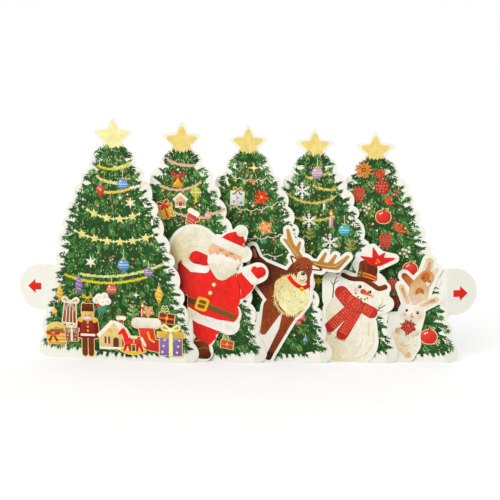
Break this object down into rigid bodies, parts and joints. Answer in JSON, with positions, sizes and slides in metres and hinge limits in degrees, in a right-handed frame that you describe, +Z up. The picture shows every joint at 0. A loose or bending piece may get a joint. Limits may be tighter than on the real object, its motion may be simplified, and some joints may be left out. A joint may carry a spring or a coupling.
{
  "type": "pull-out christmas card",
  "caption": "Standing concertina greeting card of die-cut tree panels with stars, linked by die-cut figure panels, with a round pull tab at each end",
  "frame": {"origin": "centre of the card's footprint, on the surface it stands on", "axes": "X runs along the card from left to right, -Y faces the viewer, Z is up"},
  "size_m": [0.3222, 0.0318, 0.17],
  "materials": {
    "tree_card": "matte printed card",
    "figure_card": "matte printed card",
    "tab_card": "matte uncoated card",
    "foliage_print": "matte ink",
    "colour_print": "matte ink",
    "gold_foil": "satin stamped foil"
  },
  "bodies": {
    "root": {"tree_panel_1": "tree_card", "tree_panel_2": "tree_card", "tree_panel_3": "tree_card", "tree_panel_4": "tree_card", "tree_panel_5": "tree_card", "gift_giver_panel": "figure_card", "reindeer_panel": "figure_card", "snowman_panel": "figure_card", "hare_panel": "figure_card", "left_pull_tab": "tab_card", "right_pull_tab": "tab_card"}
  },
  "joints": []
}
